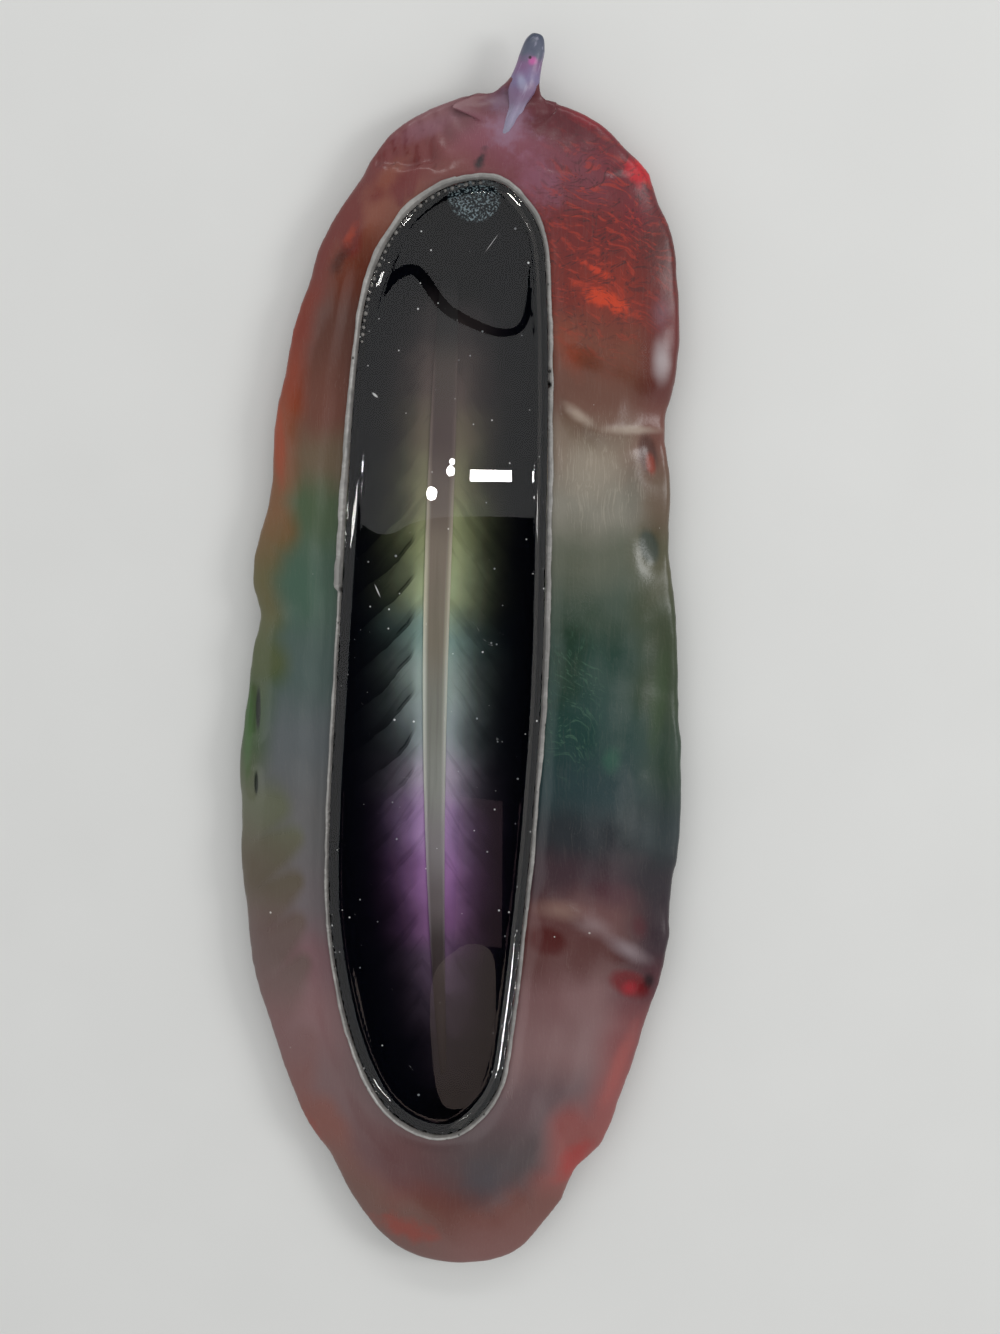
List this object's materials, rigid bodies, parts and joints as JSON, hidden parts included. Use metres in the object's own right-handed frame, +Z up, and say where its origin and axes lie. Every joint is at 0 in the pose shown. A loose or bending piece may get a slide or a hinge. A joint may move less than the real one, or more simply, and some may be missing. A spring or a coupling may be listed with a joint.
{
  "type": "resin casting mould",
  "caption": "Leaf-shaped casting mould with a ruffled flange, a pull stem and a thin pour lip round an oval well, holding its glossy dark casting.",
  "frame": {"origin": "middle of the object's box, on the flat foot under the well", "axes": "+Z up out of the well's mouth, +Y along the leaf to the stem, +X to the right seen from above with the stem away"},
  "size_m": [0.0917, 0.2558, 0.0136],
  "materials": {
    "satin_resin": "satin, mica-tinted, red at both ends and green in the middle",
    "grey_resin": "satin, lilac grey with a darker tip",
    "pale_resin": "rough trimmed edge, whitish",
    "black_resin": "gloss",
    "mica_resin": "pearl",
    "clear_resin": "clear gloss"
  },
  "bodies": {
    "mould": {"mould_body": "satin_resin", "stem": "grey_resin", "pour_lip": "pale_resin"},
    "casting": {"black_core": "black_resin", "midrib_inlay": "mica_resin", "vein_left_1": "mica_resin", "vein_left_2": "mica_resin", "vein_left_3": "mica_resin", "vein_left_4": "mica_resin", "vein_left_5": "mica_resin", "vein_left_6": "mica_resin", "vein_left_7": "mica_resin", "vein_left_8": "mica_resin", "vein_left_9": "mica_resin", "vein_left_10": "mica_resin", "vein_left_11": "mica_resin", "vein_right_1": "mica_resin", "vein_right_2": "mica_resin", "vein_right_3": "mica_resin", "vein_right_4": "mica_resin", "vein_right_5": "mica_resin", "vein_right_6": "mica_resin", "vein_right_7": "mica_resin", "vein_right_8": "mica_resin", "vein_right_9": "mica_resin", "vein_right_10": "mica_resin", "vein_right_11": "mica_resin", "clear_top": "clear_resin"}
  },
  "joints": [
    {"name": "casting_lift", "type": "slide", "parent": "mould", "child": "casting", "axis": [0, 0, 1], "range_m": [0, 0.03]}
  ]
}
